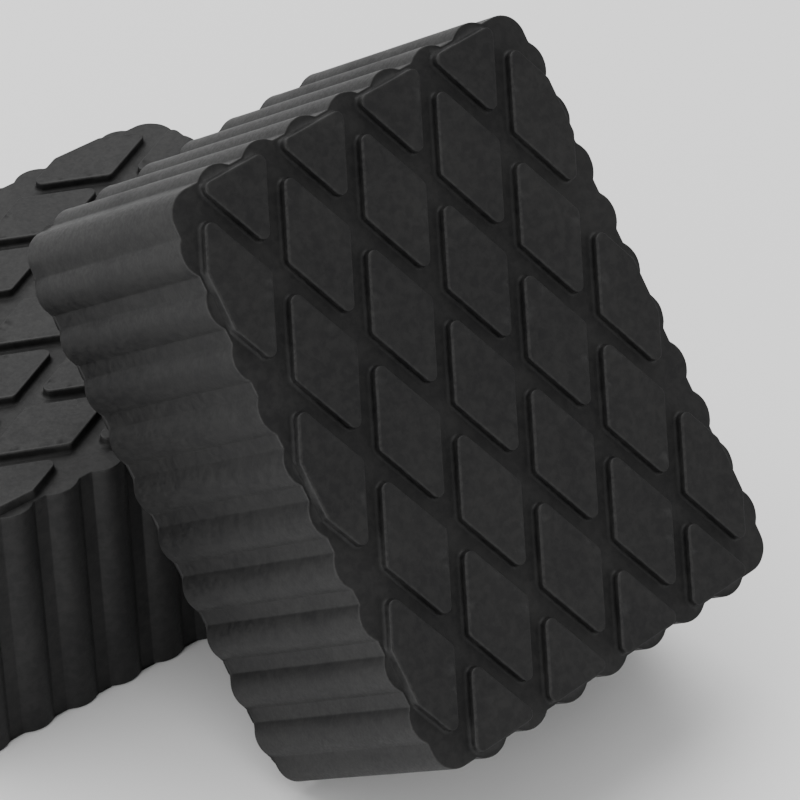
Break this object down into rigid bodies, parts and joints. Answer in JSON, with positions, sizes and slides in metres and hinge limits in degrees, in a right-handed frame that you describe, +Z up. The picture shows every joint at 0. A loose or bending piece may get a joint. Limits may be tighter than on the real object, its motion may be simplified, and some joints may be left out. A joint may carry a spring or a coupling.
{
  "type": "rubber support block set",
  "caption": "Thick black rubber support blocks with fluted sides and a raised diamond tread, laid flat and leaning against each other.",
  "frame": {"origin": "middle of the lying block's underside, on the floor", "axes": "+Z up out of the lying block's tread; +X along its long side; the leaning block stands on the -Y side"},
  "size_m": [0.1864, 0.2398, 0.1722],
  "materials": {
    "block_rubber": "matte moulded rubber"
  },
  "bodies": {
    "lying": {"lying_block": "block_rubber"},
    "leaning": {"leaning_block": "block_rubber"}
  },
  "joints": [
    {"name": "leaning_lift", "type": "slide", "parent": "lying", "child": "leaning", "axis": [0, 0, 1], "range_m": [0, 0.15]}
  ]
}
